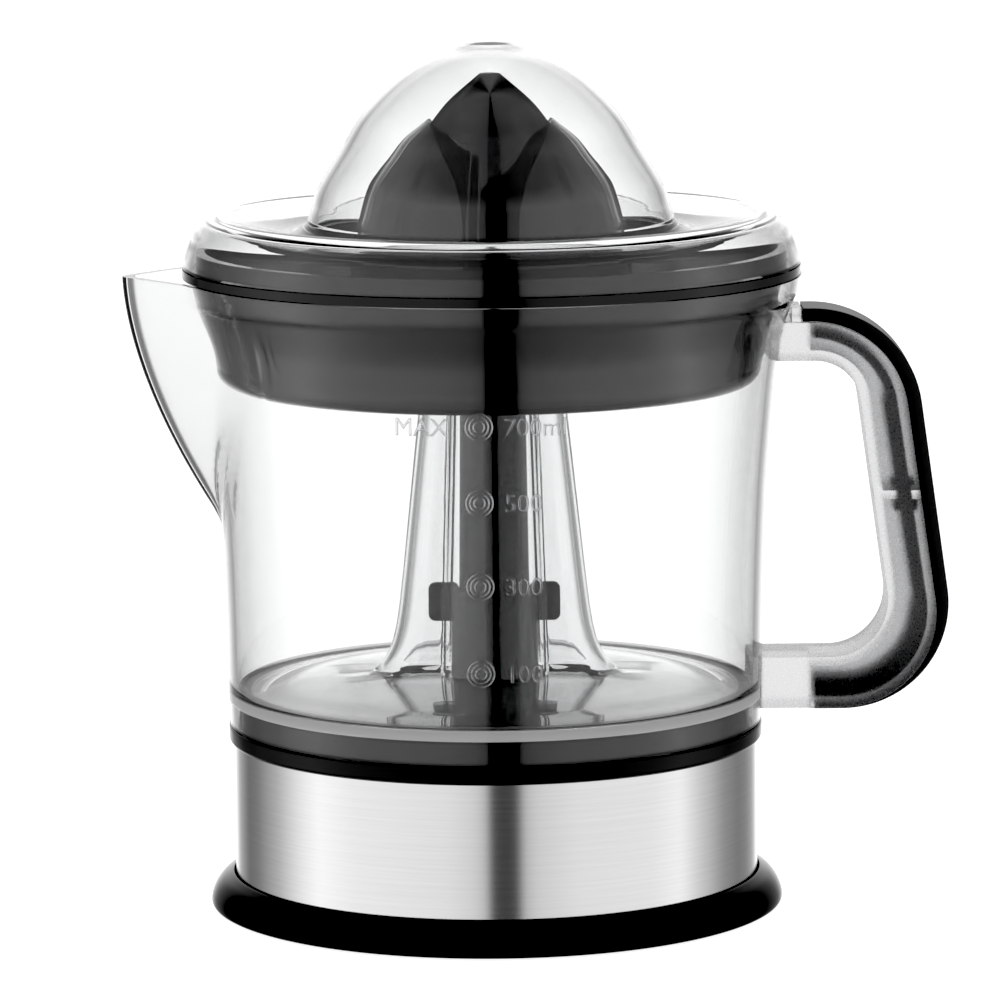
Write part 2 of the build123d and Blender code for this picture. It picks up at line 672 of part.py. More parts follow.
# ---- jug ----------------------------------------------------------------------------------
floor_top = floor_under + floor_t
flare_heights = [jug_bottom + h for h in (9.8, 11.0, 12.5, 14.5, 17.0, 20.5, 25.5)]
with BuildPart() as jug:
    wall_solid(0, jug_bottom, jug_top)
    spout_solid(0)
    wall_solid(jug_wall, jug_bottom - 1, jug_top + 1, Mode.SUBTRACT)
    spout_solid(jug_wall / math.sin(math.radians(spout_half_angle)), Mode.SUBTRACT)
    tube(rim_r + 0.3, 0, jug_top, jug_top + 3, Mode.SUBTRACT)
    turned((0, floor_under + floor_cone), (floor_cone_r, floor_under + floor_cone),
           (skirt_inner_r + 0.4, floor_under), (skirt_inner_r + 0.4, floor_top),
           (floor_cone_r, floor_top + floor_cone), (0, floor_top + floor_cone))
    chimney_solid(0, flare_heights + [chimney_top])
    chimney_solid(chimney_wall, [jug_bottom + 8.6] + flare_heights + [chimney_top - chimney_wall],
                  Mode.SUBTRACT)
    tube(tower_r + 0.8, 0, chimney_top - 3, chimney_top + 1, Mode.SUBTRACT)
jug.part.label = "jug"
export_step(jug.part, "parts/jug.step")

# ---- handle and its grip strip ------------------------------------------------------------
outer_low = handle_reach + handle_lean * (handle_top_z - handle_bottom_z)
inner_low = handle_inner_reach + handle_lean * (handle_open_top - handle_open_bottom)
grip_top_z = handle_top_z - grip_t
grip_low_z = handle_bottom_z + grip_end_t


def handle_outline(start, top, top_x, low_x, low, top_round, low_round):
    """A C-shaped outline that opens towards the jug, closed by a straight line at start."""
    with BuildSketch(Plane.XZ) as face:
        with BuildLine():
            FilletPolyline((start, top), (top_x, top), (low_x, low), (start, low),
                           radius=[top_round, low_round])
            Line((start, low), (start, top))
        make_face()
    return face.sketch


handle_back = handle_outline(50, grip_top_z, handle_reach - grip_t, outer_low - grip_t - 0.2,
                             grip_low_z, 21.8, 21.5)
handle_outside = handle_outline(grip_start, handle_top_z, handle_reach, outer_low,
                                handle_bottom_z, 24.8, 24.0)
handle_opening = handle_outline(49, handle_open_top, handle_inner_reach, inner_low,
                                handle_open_bottom, 10.5, 13.0)
handle_channel_in = handle_outline(48, handle_open_top + handle_wall,
                                   handle_inner_reach + handle_wall, inner_low + handle_wall,
                                   handle_open_bottom - handle_wall, 12.5, 15.0)

rib_z = 93.0
rib_t = 2.0
with BuildPart() as handle_channel:
    extrude(handle_back, amount=handle_w / 2 - handle_wall, both=True)
    extrude(handle_channel_in, amount=handle_w, both=True, mode=Mode.SUBTRACT)
    with BuildSketch(Plane.YZ.offset(grip_start + 1.6)):
        with Locations((0, (handle_top_z + handle_bottom_z) / 2)):
            Rectangle(3 * handle_w, 2 * (handle_top_z - handle_bottom_z))
    extrude(amount=-40, mode=Mode.SUBTRACT)
    with BuildSketch(Plane.XY.offset(rib_z)):
        Rectangle(300, 3 * handle_w)
    extrude(amount=rib_t, mode=Mode.SUBTRACT)

with BuildPart() as handle:
    extrude(handle_back, amount=handle_w / 2, both=True)
    with BuildSketch(Plane.XZ):
        with Locations(((lug_start + grip_start - 0.4) / 2, handle_top_z - grip_t / 2 - 1)):
            Rectangle(grip_start - 0.4 - lug_start, grip_t + 2)
    extrude(amount=grip_w / 2, both=True)
    extrude(handle_opening, amount=handle_w, both=True, mode=Mode.SUBTRACT)
    add(handle_channel.part, mode=Mode.SUBTRACT)
    wall_solid(-touch, jug_bottom - 5, jug_top + 5, Mode.SUBTRACT)
handle.part.label = "handle"
export_step(handle.part, "parts/handle.step")

with BuildPart() as handle_grip:
    extrude(handle_outside, amount=grip_w / 2, both=True)
    extrude(handle_back, amount=handle_w, both=True, mode=Mode.SUBTRACT)
    with BuildSketch(Plane.YZ.offset(grip_start)):
        with Locations((0, handle_bottom_z)):
            Rectangle(2 * handle_w, 12)
    extrude(amount=2.5, mode=Mode.SUBTRACT)
handle_grip.part.label = "handle_grip"
export_step(handle_grip.part, "parts/handle_grip.step")

# ---- strainer -----------------------------------------------------------------------------
bowl_r = lip_r - strainer_taper
floor_r = bowl_r - strainer_corner
with BuildPart() as strainer:
    with BuildSketch(Plane.XZ):
        with BuildLine():
            Polyline((0, bowl_bottom), (floor_r, bowl_bottom))
            RadiusArc((floor_r, bowl_bottom), (bowl_r, bowl_bottom + strainer_corner),
                      -strainer_corner)
            Polyline((bowl_r, bowl_bottom + strainer_corner), (lip_r - 0.5, flange_z),
                     (flange_r, flange_z), (flange_r, flange_top), (lip_r, flange_top),
                     (lip_r, flange_top + lip_h), (lip_r - strainer_wall, flange_top + lip_h),
                     (lip_r - strainer_wall, flange_z),
                     (bowl_r - strainer_wall, bowl_bottom + strainer_corner),
                     (floor_r - 0.6, bowl_bottom + strainer_wall), (0, bowl_bottom + strainer_wall),
                     (0, bowl_bottom))
        make_face()
    revolve(axis=Axis.Z)
    tube(strainer_hub_r, 0, bowl_bottom, bush_top_z)
    hub_bore_r = strainer_hub_r - 3.0
    tube(hub_bore_r, 0, bowl_bottom - 1, bush_top_z + 1, Mode.SUBTRACT)
    with BuildSketch(Plane.XY.offset(bowl_bottom - 1)):
        with PolarLocations((slot_inner_r + slot_outer_r) / 2, slot_count):
            SlotOverall(slot_outer_r - slot_inner_r, slot_w)
    extrude(amount=strainer_wall + 1.6, mode=Mode.SUBTRACT)
strainer.part.label = "strainer"
export_step(strainer.part, "parts/strainer.step")

bush_low = tower_top + 1.0
with BuildPart() as hub_bush:
    tube(hub_bore_r - running_fit, 0, bush_low, bush_top_z + seat_gap)
    tube(strainer_hub_r, 0, bush_top_z + seat_gap, bush_top_z + seat_gap + 0.6)
    hexagon(shaft_flats + 2 * running_fit, bush_low - 1, bush_top_z + 3, Mode.SUBTRACT)
hub_bush.part.label = "hub_bush"
export_step(hub_bush.part, "parts/hub_bush.step")

# ---- small cone ---------------------------------------------------------------------------
rib_outline = [(small_cone_r, cone_base_z + 2), (0.98 * small_cone_r, cone_base_z + 14),
               (0.93 * small_cone_r, cone_base_z + 26), (0.83 * small_cone_r, cone_base_z + 36.4),
               (0.71 * small_cone_r, small_cone_top - 14.8),
               (0.57 * small_cone_r, small_cone_top - 10.6),
               (0.44 * small_cone_r, small_cone_top - 7.0),
               (0.28 * small_cone_r, small_cone_top - 3.6), (1.8, small_cone_top)]
body_outline = [(small_body_share * r, z) for r, z in rib_outline[:-1]] + [(1.0, small_cone_top - 0.8)]
hollow_outline = [(r - cone_wall, z - 1.5) for r, z in body_outline[:5]]
with BuildPart() as small_cone:
    with BuildSketch(Plane.XZ):
        with BuildLine():
            Spline(*body_outline)
            Polyline(body_outline[-1], (0, small_cone_top - 0.8), (0, cone_base_z + 2), body_outline[0])
        make_face()
    revolve(axis=Axis.Z)
    with BuildSketch(Plane.XZ):
        with BuildLine():
            Spline(*hollow_outline)
            Polyline(hollow_outline[-1], (0, hollow_outline[-1][1]), (0, cone_base_z - 1),
                     (hollow_outline[0][0], cone_base_z - 1), hollow_outline[0])
        make_face()
    revolve(axis=Axis.Z, mode=Mode.SUBTRACT)
    tube(small_cone_flange_r, hollow_outline[0][0], cone_base_z, cone_base_z + 2)
    tube(socket_r, 0, cone_base_z, shaft_top + 2.3)
    tube(hollow_outline[0][0] + 0.3, socket_r - 0.5, shaft_top - 2, shaft_top)
    hexagon(shaft_flats + 2 * running_fit, cone_base_z - 1, shaft_top + seat_gap, Mode.SUBTRACT)
    for turn in range(4):
        angle = first_small_rib + turn * 90
        for share, half_t, side in ((1.0, 0.5, 0), (0.93, 1.7, 0), (0.87, 3.2, 0),
                                    (0.87, 0.5, fine_rib_turn)):
            with BuildSketch(radial_plane(angle + side)):
                with BuildLine():
                    Spline(*[(share * r, z) for r, z in rib_outline])
                    Polyline((share * 1.8, small_cone_top), (0.7, small_cone_top),
                             (body_outline[0][0] - 1, body_outline[0][1] + 1),
                             (body_outline[0][0] - 1, body_outline[0][1]),
                             (share * small_cone_r, body_outline[0][1]))
                make_face()
            extrude(amount=half_t, both=True)
small_cone.part.label = "small_cone"
export_step(small_cone.part, "parts/small_cone.step")

# ---- large cone: a sleeve with two petals --------------------------------------------------
petal_outline = [(large_cone_r, large_cone_bottom), (0.98 * large_cone_r, petal_top - 35.0),
                 (0.95 * large_cone_r, petal_top - 25.7), (0.858 * large_cone_r, petal_top - 15.8),
                 (0.78 * large_cone_r, petal_top - 11.5), (0.70 * large_cone_r, petal_top - 8.2),
                 (0.60 * large_cone_r, petal_top - 4.0), (petal_tip_r, petal_top)]
with BuildPart() as large_cone:
    inside = [(petal_tip_r - 1.0, petal_top)]
    inside += [(r - cone_wall, z) for r, z in reversed(petal_outline[:-1])]
    turned(*petal_outline, *inside, seam=-90)
    tube(large_cone_r - 1, small_cone_r + free_gap, cone_base_z + 2 + seat_gap,
         cone_base_z + 4 + seat_gap)
    ridge = [(r + large_rib_h, z) for r, z in petal_outline[:-1]] + [(petal_tip_r, petal_top - 0.6)]
    root = [(r - 0.8, z) for r, z in reversed(petal_outline[:-1])]
    for turn in (-48, -24, 0, 24, 48):
        for side in (0, 180):
            with BuildSketch(radial_plane(turn + side)):
                Polygon(*ridge, *root, align=None)
            extrude(amount=0.4, both=True)
    with BuildSketch(Plane.XZ):
        edge = [(window_half_w, window_root_z), (window_half_w, petal_top - 18.0),
                (window_half_w + 1.7, petal_top - 11.5), (petal_tip_r - 3.4, petal_top - 6.0),
                (petal_tip_r - 1, petal_top - 1), (petal_tip_r - 1, petal_top + 5)]
        Polygon(*edge, *[(-x, z) for x, z in reversed(edge)], align=None)
    extrude(amount=60, both=True, mode=Mode.SUBTRACT)
large_cone.part.label = "large_cone"
export_step(large_cone.part, "parts/large_cone.step")

# ---- lid ----------------------------------------------------------------------------------
shoulder_r = rim_r - 8.5
lid_edge_top = lid_bottom + lid_skirt_h
dish_z = lid_edge_top - lid_dish
dome_rise = dome_top - dish_z
dome_shape = [(0.96, 0.24), (0.837, 0.43), (0.711, 0.616), (0.519, 0.80), (0.32, 0.926)]


def lid_outline(thickness):
    """Half of the lid's section, moved in by a thickness."""
    t = thickness
    dome = [(dome_r * r - t * r, dish_z + dome_rise * z - t * z) for r, z in dome_shape]
    with BuildSketch(Plane.XZ) as half:
        with BuildLine():
            Polyline((0, lid_bottom), (rim_r - 0.3 - t, lid_bottom), (rim_r - 1.0 - t, lid_bottom + 2.9),
                     (rim_r - 3.7 - t, lid_edge_top - 2.4 - t / 2))
            Spline((rim_r - 3.7 - t, lid_edge_top - 2.4 - t / 2),
                   (shoulder_r + 2.4 - t / 2, lid_edge_top - 0.4 - t), (shoulder_r - 1, lid_edge_top - t),
                   tangents=[(-0.38, 1), (-1, 0)])
            Line((shoulder_r - 1, lid_edge_top - t), (dome_r + 3.5 - t, dish_z - t))
            Spline((dome_r + 3.5 - t, dish_z - t), *dome, (0, dome_top - t),
                   tangents=[(-1, 0.1), (-1, 0)])
            Line((0, dome_top - t), (0, lid_bottom))
        make_face()
    return half.sketch


with BuildPart() as lid:
    revolve(lid_outline(0), axis=Axis.Z)
    revolve(lid_outline(lid_wall), axis=Axis.Z, mode=Mode.SUBTRACT)
    tube(3.4, 0, dome_top - lid_wall - 1.4, dome_top - lid_wall / 2)
lid.part.label = "lid"
export_step(lid.part, "parts/lid.step")
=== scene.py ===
"""Looks of a citrus press juicer: brushed base, clear jug on a dark tower, dark strainer and
reaming cones, and a clear domed lid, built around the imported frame. Metres, +Z up."""

import json
import math

import bmesh
import bpy
from mathutils import Matrix, Vector


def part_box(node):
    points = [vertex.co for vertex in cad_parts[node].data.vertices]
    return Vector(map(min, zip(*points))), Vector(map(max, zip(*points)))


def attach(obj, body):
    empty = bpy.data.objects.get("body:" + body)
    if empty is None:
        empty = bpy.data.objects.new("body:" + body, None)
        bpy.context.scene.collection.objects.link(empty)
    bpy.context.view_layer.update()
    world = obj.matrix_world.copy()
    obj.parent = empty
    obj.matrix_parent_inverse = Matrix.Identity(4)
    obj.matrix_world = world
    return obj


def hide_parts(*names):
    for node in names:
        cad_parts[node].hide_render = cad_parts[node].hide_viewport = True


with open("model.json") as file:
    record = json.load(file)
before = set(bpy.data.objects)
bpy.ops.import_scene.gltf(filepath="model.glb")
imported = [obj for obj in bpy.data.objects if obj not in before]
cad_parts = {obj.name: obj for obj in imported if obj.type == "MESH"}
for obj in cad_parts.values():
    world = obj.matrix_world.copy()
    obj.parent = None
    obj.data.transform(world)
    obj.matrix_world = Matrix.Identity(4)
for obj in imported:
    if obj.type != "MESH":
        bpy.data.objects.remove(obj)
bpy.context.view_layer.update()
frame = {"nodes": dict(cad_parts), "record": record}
MM = 0.001

# ---- Camera ---------------------------------------------------------------------------------
# A long lens a little above the lid, square on to the volume marks, with a trace of roll. The
# tone is plain, and its darkest greys are taken down to black.
view_distance = 1.4047
view_tilt = math.radians(8.464)
view_roll = math.radians(-0.516)
aim = Vector((1.47 * MM, 0.0, 92.43 * MM))
camera_data = bpy.data.cameras.new("camera")
camera_data.sensor_width = 36.0
camera_data.lens = 222.8
camera = bpy.data.objects.new("camera", camera_data)
bpy.context.scene.collection.objects.link(camera)
back = Vector((0.0, -math.cos(view_tilt), math.sin(view_tilt)))
turn = Matrix.Rotation(math.pi / 2 - view_tilt, 4, "X") @ Matrix.Rotation(view_roll, 4, "Z")
camera.matrix_world = Matrix.Translation(aim + back * view_distance) @ turn
camera_data.clip_start, camera_data.clip_end = 0.1, 20.0
bpy.context.scene.camera = camera
tone = bpy.context.scene.view_settings
tone.view_transform = "Standard"
tone.use_curve_mapping = True
tone.curve_mapping.black_level = (0.03, 0.03, 0.03)
tone.curve_mapping.update()
bpy.context.scene.cycles.max_bounces = 32
bpy.context.scene.cycles.transmission_bounces = 32


# ---- Studio ---------------------------------------------------------------------------------
# Two tall soft panels left and right of the camera with a narrow dark gap between them, greyer
# flanks, a white backdrop and a dim ceiling. The room is drawn by the direction alone.
class Wire:
    """A node socket that takes part in arithmetic by adding Math nodes to its tree."""

    def __init__(self, tree, socket):
        self.tree, self.socket = tree, socket

    def math(self, operation, *others):
        node = self.tree.nodes.new("ShaderNodeMath")
        node.operation = operation
        for place, value in enumerate((self, *others)):
            plug(self.tree, node.inputs[place], value)
        return Wire(self.tree, node.outputs[0])

    def __add__(self, other):
        return self.math("ADD", other)

    __radd__ = __add__

    def __sub__(self, other):
        return self.math("SUBTRACT", other)

    def __rsub__(self, other):
        return (self * -1.0) + other

    def __mul__(self, other):
        return self.math("MULTIPLY", other)

    __rmul__ = __mul__

    def __truediv__(self, other):
        return self.math("DIVIDE", other)


def plug(tree, socket, value):
    """Feeds a socket from a Wire, or sets its value."""
    if isinstance(value, Wire):
        tree.links.new(value.socket, socket)
    else:
        socket.default_value = value


class Shop:
    """Adds nodes to one tree. Settings come first, then the sockets' values or links."""

    def __init__(self, tree, clear=True):
        self.tree = tree
        if clear:
            tree.nodes.clear()

    def node(self, kind, settings=None, stops=None, **sockets):
        made = self.tree.nodes.new("ShaderNode" + kind)
        for name, value in (settings or {}).items():
            setattr(made, name, value)
        if stops:
            ramp = made.color_ramp
            while len(ramp.elements) < len(stops):
                ramp.elements.new(0.5)
            for element, (place, level) in zip(ramp.elements, stops):
                element.position = place
                element.color = (level, level, level, 1.0)
        for name, value in sockets.items():
            label = name.replace("_", " ")
            socket = made.inputs[int(label[1:])] if label[1:].isdigit() else made.inputs[label]
            plug(self.tree, socket, value)
        return made

    def wire(self, kind, output=0, settings=None, stops=None, **sockets):
        made = self.node(kind, settings, stops, **sockets)
        return Wire(self.tree, made.outputs[output])


world = bpy.data.worlds.new("studio")
world.use_nodes = True
bpy.context.scene.world = world
shop = Shop(world.node_tree)
way = shop.node("TexCoord").outputs["Generated"]
split = shop.node("SeparateXYZ", Vector=Wire(shop.tree, way))
way_x, way_y, way_z = (Wire(shop.tree, s) for s in split.outputs)
azimuth = way_x.math("ARCTAN2", way_y * -1.0) / (2 * math.pi) + 0.5
height = way_z.math("ARCSINE") / math.pi + 0.5
around = [(0.0, 1.3), (0.035, 1.3), (0.07, 0.5), (0.11, 0.2), (0.14, 0.26), (0.19, 0.55),
          (0.235, 1.0), (0.265, 1.22), (0.32, 1.05), (0.44, 0.93), (0.474, 0.80), (0.489, 0.62),
          (0.4935, 0.085), (0.526, 0.085), (0.533, 0.62), (0.55, 0.78), (0.60, 0.93),
          (0.70, 0.98), (0.745, 1.12), (0.78, 0.75), (0.83, 0.36), (0.87, 0.25), (0.90, 0.3),
          (0.93, 0.5), (0.965, 1.3)]
panels = shop.wire("ValToRGB", Fac=azimuth, stops=around)
reach = shop.wire("ValToRGB", Fac=height,
                  stops=[(0.0, 0.35), (0.22, 0.5), (0.36, 1.0), (0.70, 1.0), (0.79, 0.45),
                         (1.0, 0.55)])
level = panels * reach
seen = shop.wire("LightPath", "Is Camera Ray")
level = level * (1.0 - seen) + seen * 1.05
glow = shop.node("Background", Color=(1.0, 1.0, 1.0, 1.0), Strength=level)
shop.tree.links.new(glow.outputs[0], shop.node("OutputWorld").inputs["Surface"])


def placed(name, mesh):
    """An object in the scene that holds this mesh."""
    thing = bpy.data.objects.new(name, mesh)
    bpy.context.scene.collection.objects.link(thing)
    return thing


def finished(name, shape):
    """An object made from a bmesh, which is freed."""
    mesh = bpy.data.meshes.new(name)
    shape.to_mesh(mesh)
    shape.free()
    return placed(name, mesh)


floor_shape = bmesh.new()
bmesh.ops.create_grid(floor_shape, x_segments=1, y_segments=1, size=6.0)
floor = finished("floor", floor_shape)
floor.visible_glossy = False
floor.visible_transmission = False
floor_paint = bpy.data.materials.new("floor_white")
floor_paint.use_nodes = True
shop = Shop(floor_paint.node_tree)
matt = shop.node("BsdfDiffuse", Color=(0.8, 0.8, 0.8, 1.0))
lit = shop.node("Emission", Color=(1.0, 1.0, 1.0, 1.0), Strength=0.9)
both = shop.node("AddShader")
shop.tree.links.new(matt.outputs[0], both.inputs[0])
shop.tree.links.new(lit.outputs[0], both.inputs[1])
shop.tree.links.new(both.outputs[0], shop.node("OutputMaterial").inputs["Surface"])
floor.data.materials.append(floor_paint)


# ---- Foot ring and bottom cover ---------------------------------------------------------------
# The foot ring is a gloss black moulding that the base stands in. Its back swells outwards and
# closes on the steel band; the cover, feet and screws under it are matt.
def finish_on(name, shader_sockets, build=None):
    """A material with one Principled shader. build adds what varies over the surface."""
    made = bpy.data.materials.new(name)
    made.use_nodes = True
    bench = Shop(made.node_tree)
    skin = bench.node("BsdfPrincipled")
    for label, value in shader_sockets.items():
        skin.inputs[label].default_value = value
    if build:
        build(bench, skin)
    bench.tree.links.new(skin.outputs[0], bench.node("OutputMaterial").inputs["Surface"])
    return made


def moulded_skin(speckle, depth, rough_low, rough_high):
    """Faint orange peel and uneven gloss, as on a moulded plastic surface."""
    def build(bench, skin):
        place = bench.wire("TexCoord", "Object")
        grain = bench.wire("TexNoise", "Fac", Vector=place, Scale=speckle, Detail=3.0)
        wear = bench.wire("TexNoise", "Fac", Vector=place, Scale=45.0, Detail=4.0)
        rough = wear * (rough_high - rough_low) + rough_low
        plug(bench.tree, skin.inputs["Roughness"], rough)
        bump = bench.wire("Bump", "Normal", Height=grain, Strength=0.25, Distance=depth)
        plug(bench.tree, skin.inputs["Normal"], bump)
    return build


def grey(level, tint=0.0):
    return (level, level, level + tint, 1.0)


def paint(thing, material):
    """Gives every face of an object this one material."""
    thing.data.materials.clear()
    thing.data.materials.append(material)


def turned_piece(name, outline, steps):
    """A new mesh made by spinning a closed (radius, height) outline, in millimetres."""
    shape = bmesh.new()
    points = [shape.verts.new((r * MM, 0.0, z * MM)) for r, z in outline]
    edges = [shape.edges.new(pair) for pair in zip(points, points[1:] + points[:1])]
    bmesh.ops.spin(shape, geom=points + edges, cent=(0, 0, 0), axis=(0, 0, 1),
                   angle=2 * math.pi, steps=steps, use_merge=True)
    bmesh.ops.remove_doubles(shape, verts=shape.verts, dist=1e-6)
    bmesh.ops.recalc_face_normals(shape, faces=shape.faces)
    piece = finished(name, shape)
    piece.data.shade_smooth()
    return piece


def sharp_edges(piece, angle):
    """Keeps creases steeper than the angle crisp on a smooth-shaded piece."""
    shape = bmesh.new()
    shape.from_mesh(piece.data)
    for edge in shape.edges:
        edge.smooth = edge.calc_face_angle(0.0) < math.radians(angle)
    shape.to_mesh(piece.data)
    shape.free()


def curve_through(points, count):
    """Points on a smooth curve through the given (radius, height) points."""
    out = []
    n = len(points)
    for i in range(n - 1):
        p0, p1 = Vector(points[max(i - 1, 0)]), Vector(points[i])
        p2, p3 = Vector(points[i + 1]), Vector(points[min(i + 2, n - 1)])
        for k in range(count):
            t = k / count
            out.append(tuple(0.5 * (2 * p1 + (p2 - p0) * t + (2 * p0 - 5 * p1 + 4 * p2 - p3) * t * t
                                    + (3 * p1 - p0 - 3 * p2 + p3) * t ** 3)))
    out.append(tuple(points[-1]))
    return out


def rounded(points, radius, segments=4):
    """The outline with each corner rounded off by a radius, or less where its sides are short."""
    out = []
    n = len(points)
    for i in range(n):
        a, b, c = Vector(points[i - 1]), Vector(points[i]), Vector(points[(i + 1) % n])
        cut = min(radius, (a - b).length * 0.45, (c - b).length * 0.45)
        if cut < 0.02 or (b - a).normalized().dot((c - b).normalized()) > 0.94:
            out.append(tuple(b))
            continue
        start, end = b + (a - b).normalized() * cut, b + (c - b).normalized() * cut
        for k in range(segments + 1):
            t = k / segments
            out.append(tuple(start * (1 - t) ** 2 + b * (2 * t * (1 - t)) + end * t ** 2))
    return out


gloss_black = finish_on("gloss_black", {
    "Base Color": grey(0.004), "Roughness": 0.12, "Specular IOR Level": 0.13},
    moulded_skin(700.0, 0.00003, 0.1, 0.18))
matt_black = finish_on("matt_black", {"Base Color": grey(0.012), "Roughness": 0.6},
                       moulded_skin(2500.0, 0.00006, 0.5, 0.7))
foot_low, foot_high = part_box("foot_ring")
foot_r, foot_base, foot_top = foot_high.x / MM, foot_low.z / MM, foot_high.z / MM
band_low, band_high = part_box("steel_band")
band_r = band_high.x / MM
foot_outline = curve_through([
    (foot_r - 0.7, foot_base), (foot_r - 0.15, foot_base + 0.4), (foot_r, foot_base + 1.2),
    (foot_r - 0.3, foot_base + 2.6), (foot_r - 1.2, foot_base + 4.4),
    (foot_r - 2.6, foot_base + 6.0), (foot_r - 4.4, foot_base + 7.2), (band_r + 0.5, foot_top)], 5)
foot_outline += [(band_r + 0.3, foot_top - 0.3), (band_r + 0.3, foot_base + 4.5),
                 (band_r - 4.2, foot_base + 4.5), (band_r - 4.2, foot_base + 2.6),
                 (band_r + 1.4, foot_base + 2.6), (band_r + 1.4, foot_base)]
foot = turned_piece("foot_ring_moulding", foot_outline, 224)
sharp_edges(foot, 40)
paint(foot, gloss_black)
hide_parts("foot_ring")
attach(foot, "base")
for name in ("bottom_cover", "rubber_feet", "cord_gland"):
    paint(frame["nodes"][name], matt_black)

# ---- Steel band -------------------------------------------------------------------------------
# A strip of stainless sheet wrapped round the base and brushed around its length, so its grain is
# fine level scratches that draw a light out into an upright streak.
def brushed_grain(bench, skin):
    place = bench.wire("TexCoord", "Object")
    parts = bench.node("SeparateXYZ", Vector=place)
    px, py, pz = (Wire(bench.tree, s) for s in parts.outputs)
    angle = py.math("ARCTAN2", px)
    along = bench.wire("CombineXYZ", X=angle * 3.0, Y=pz * 9000.0, Z=0.0)
    fine = bench.wire("TexNoise", "Fac", Vector=along, Scale=1.0, Detail=4.0, Roughness=0.7)
    broad_place = bench.wire("CombineXYZ", X=angle * 1.3, Y=pz * 1500.0, Z=4.0)
    broad = bench.wire("TexNoise", "Fac", Vector=broad_place, Scale=1.0, Detail=2.0)
    plug(bench.tree, skin.inputs["Roughness"], fine * 0.06 + broad * 0.04 + 0.12)
    shade = bench.wire("ValToRGB", Fac=fine * 0.6 + broad * 0.4, stops=[(0.25, 0.74), (0.75, 0.84)])
    plug(bench.tree, skin.inputs["Base Color"], shade)
    bump = bench.wire("Bump", "Normal", Height=fine, Strength=0.10, Distance=0.00002)
    plug(bench.tree, skin.inputs["Normal"], bump)


brushed_steel = finish_on("brushed_steel", {
    "Base Color": grey(0.75), "Metallic": 1.0, "Roughness": 0.22, "Anisotropic": 0.75,
    "Anisotropic Rotation": 0.25}, brushed_grain)
band_base, band_top = band_low.z / MM, band_high.z / MM
sheet = 0.55
band = turned_piece("steel_band_sheet", [
    (band_r - sheet, band_base), (band_r, band_base), (band_r, band_top - 0.25),
    (band_r - 0.2, band_top), (band_r - sheet, band_top)], 256)
sharp_edges(band, 30)
paint(band, brushed_steel)
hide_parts("steel_band")
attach(band, "base")

# ---- Collar, deck and tower -------------------------------------------------------------------
# One dark moulding: the collar that closes the base, the deck and plug that the jug drops over,
# and the tower that carries the shaft up through the jug's chimney, with a fin on each side.
housing_low, housing_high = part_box("top_housing")
jug_low, jug_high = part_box("jug")
collar_r = housing_high.x / MM
tower_top = housing_high.z / MM
collar_top = jug_low.z / MM - 0.3
plug_top = collar_top + 5.0
deck_top = plug_top + 3.8
plug_r = collar_r - 3.1
dark_moulding = finish_on("dark_moulding", {
    "Base Color": grey(0.006), "Roughness": 0.12, "Specular IOR Level": 0.3},
    moulded_skin(1500.0, 0.00001, 0.08, 0.16))
tower_wide_r, tower_root_r, tower_r, tower_bore_r = 9.9, 8.0, 7.4, 5.3
shoulder_z = 71.5
inside_r = collar_r - 3.3
housing_outline = rounded([
    (collar_r - 1.2, band_top), (collar_r - 0.5, band_top), (collar_r, band_top + 0.6),
    (collar_r, collar_top), (plug_r, collar_top), (plug_r, plug_top), (28.0, deck_top),
    (tower_wide_r, deck_top), (tower_wide_r, shoulder_z), (tower_root_r, shoulder_z + 0.6),
    (tower_r, tower_top), (tower_bore_r, tower_top), (tower_bore_r, deck_top - 4),
    (27.0, deck_top - 3), (inside_r, plug_top - 3), (inside_r, band_top)], 0.5)
housing = turned_piece("collar_and_tower", housing_outline, 192)
sharp_edges(housing, 35)
paint(housing, dark_moulding)
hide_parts("top_housing")
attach(housing, "base")


def block_piece(name, size, centre, bevel, segments):
    """A box with rounded edges, all in millimetres."""
    shape = bmesh.new()
    bmesh.ops.create_cube(shape, size=1.0)
    bmesh.ops.scale(shape, vec=Vector(size) * MM, verts=shape.verts)
    bmesh.ops.bevel(shape, geom=shape.edges[:], offset=bevel * MM, segments=segments,
                    profile=0.5, affect="EDGES", material=-1)
    bmesh.ops.translate(shape, vec=Vector(centre) * MM, verts=shape.verts)
    piece = finished(name, shape)
    piece.data.shade_smooth()
    return piece


fin_size = (7.0, 4.0, 8.9)
fin_z = 73.9 - fin_size[2] / 2
for side, sign in (("left", -1), ("right", 1)):
    fin = block_piece("tower_fin_" + side, fin_size, (sign * 11.5, 0, fin_z), 1.6, 5)
    paint(fin, dark_moulding)
    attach(fin, "base")
rib_count = 14
first_rib = -94.4
rib_ring = plug_r - 0.4
for turn_step in range(rib_count):
    angle = math.radians(first_rib + turn_step * 360 / rib_count)
    rib_shape = bmesh.new()
    bmesh.ops.create_cone(rib_shape, cap_ends=True, segments=16, radius1=0.9 * MM, radius2=0.7 * MM,
                          depth=(plug_top - collar_top - 0.6) * MM)
    bmesh.ops.translate(rib_shape, verts=rib_shape.verts, vec=(
        rib_ring * math.cos(angle) * MM, rib_ring * math.sin(angle) * MM,
        (plug_top + collar_top - 0.6) / 2 * MM))
    rib = finished(f"plug_rib_{turn_step}", rib_shape)
    rib.data.shade_smooth()
    sharp_edges(rib, 40)
    paint(rib, dark_moulding)
    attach(rib, "base")

